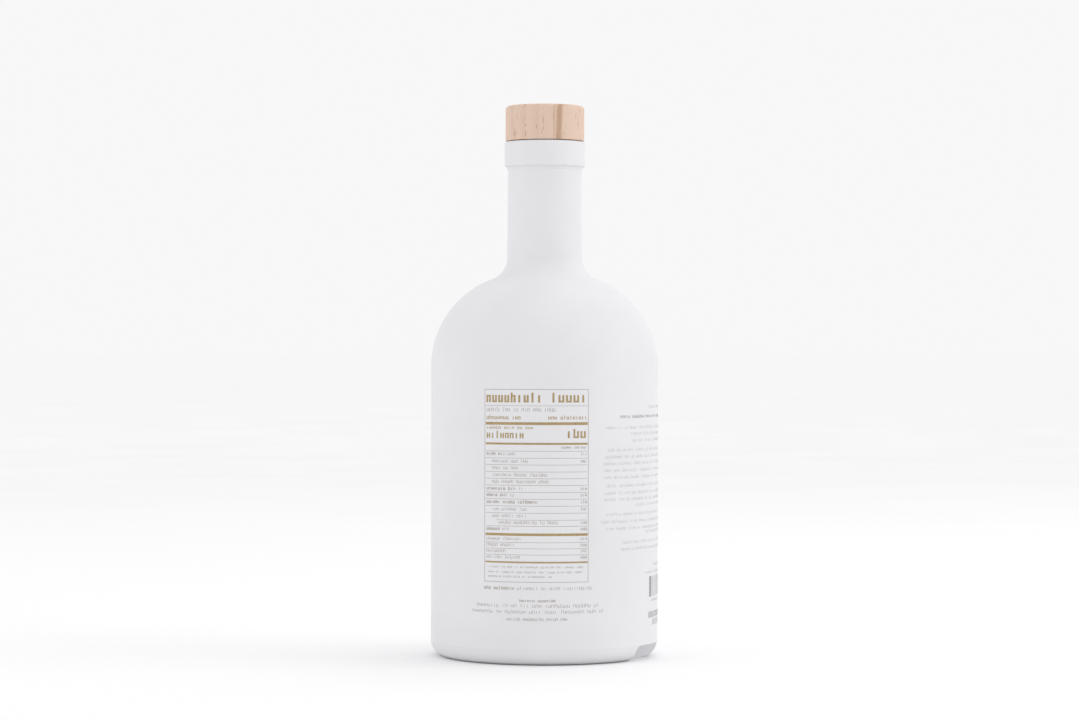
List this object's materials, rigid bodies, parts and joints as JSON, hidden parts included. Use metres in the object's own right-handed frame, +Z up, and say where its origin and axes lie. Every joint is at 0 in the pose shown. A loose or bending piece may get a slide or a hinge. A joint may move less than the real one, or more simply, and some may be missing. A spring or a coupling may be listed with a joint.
{
  "type": "olive oil bottle",
  "caption": "White coated round-shouldered glass oil bottle with a straight neck, a plain collar and a flat round wooden stopper.",
  "frame": {"origin": "centre of the foot, on the plane that the bottle stands on", "axes": "+Z up along the bottle's axis; the printed panel faces -Y; +X to the right of the panel"},
  "size_m": [0.084, 0.084, 0.203],
  "materials": {
    "coated_glass": "white, opaque, matte spray coating",
    "stopper_wood": "pale, fine sanded, unvarnished",
    "gold_ink": "screen-printed gold ink, satin",
    "grey_ink": "screen-printed grey ink, matte"
  },
  "bodies": {
    "root": {"bottle": "coated_glass", "stopper": "stopper_wood"}
  },
  "joints": []
}
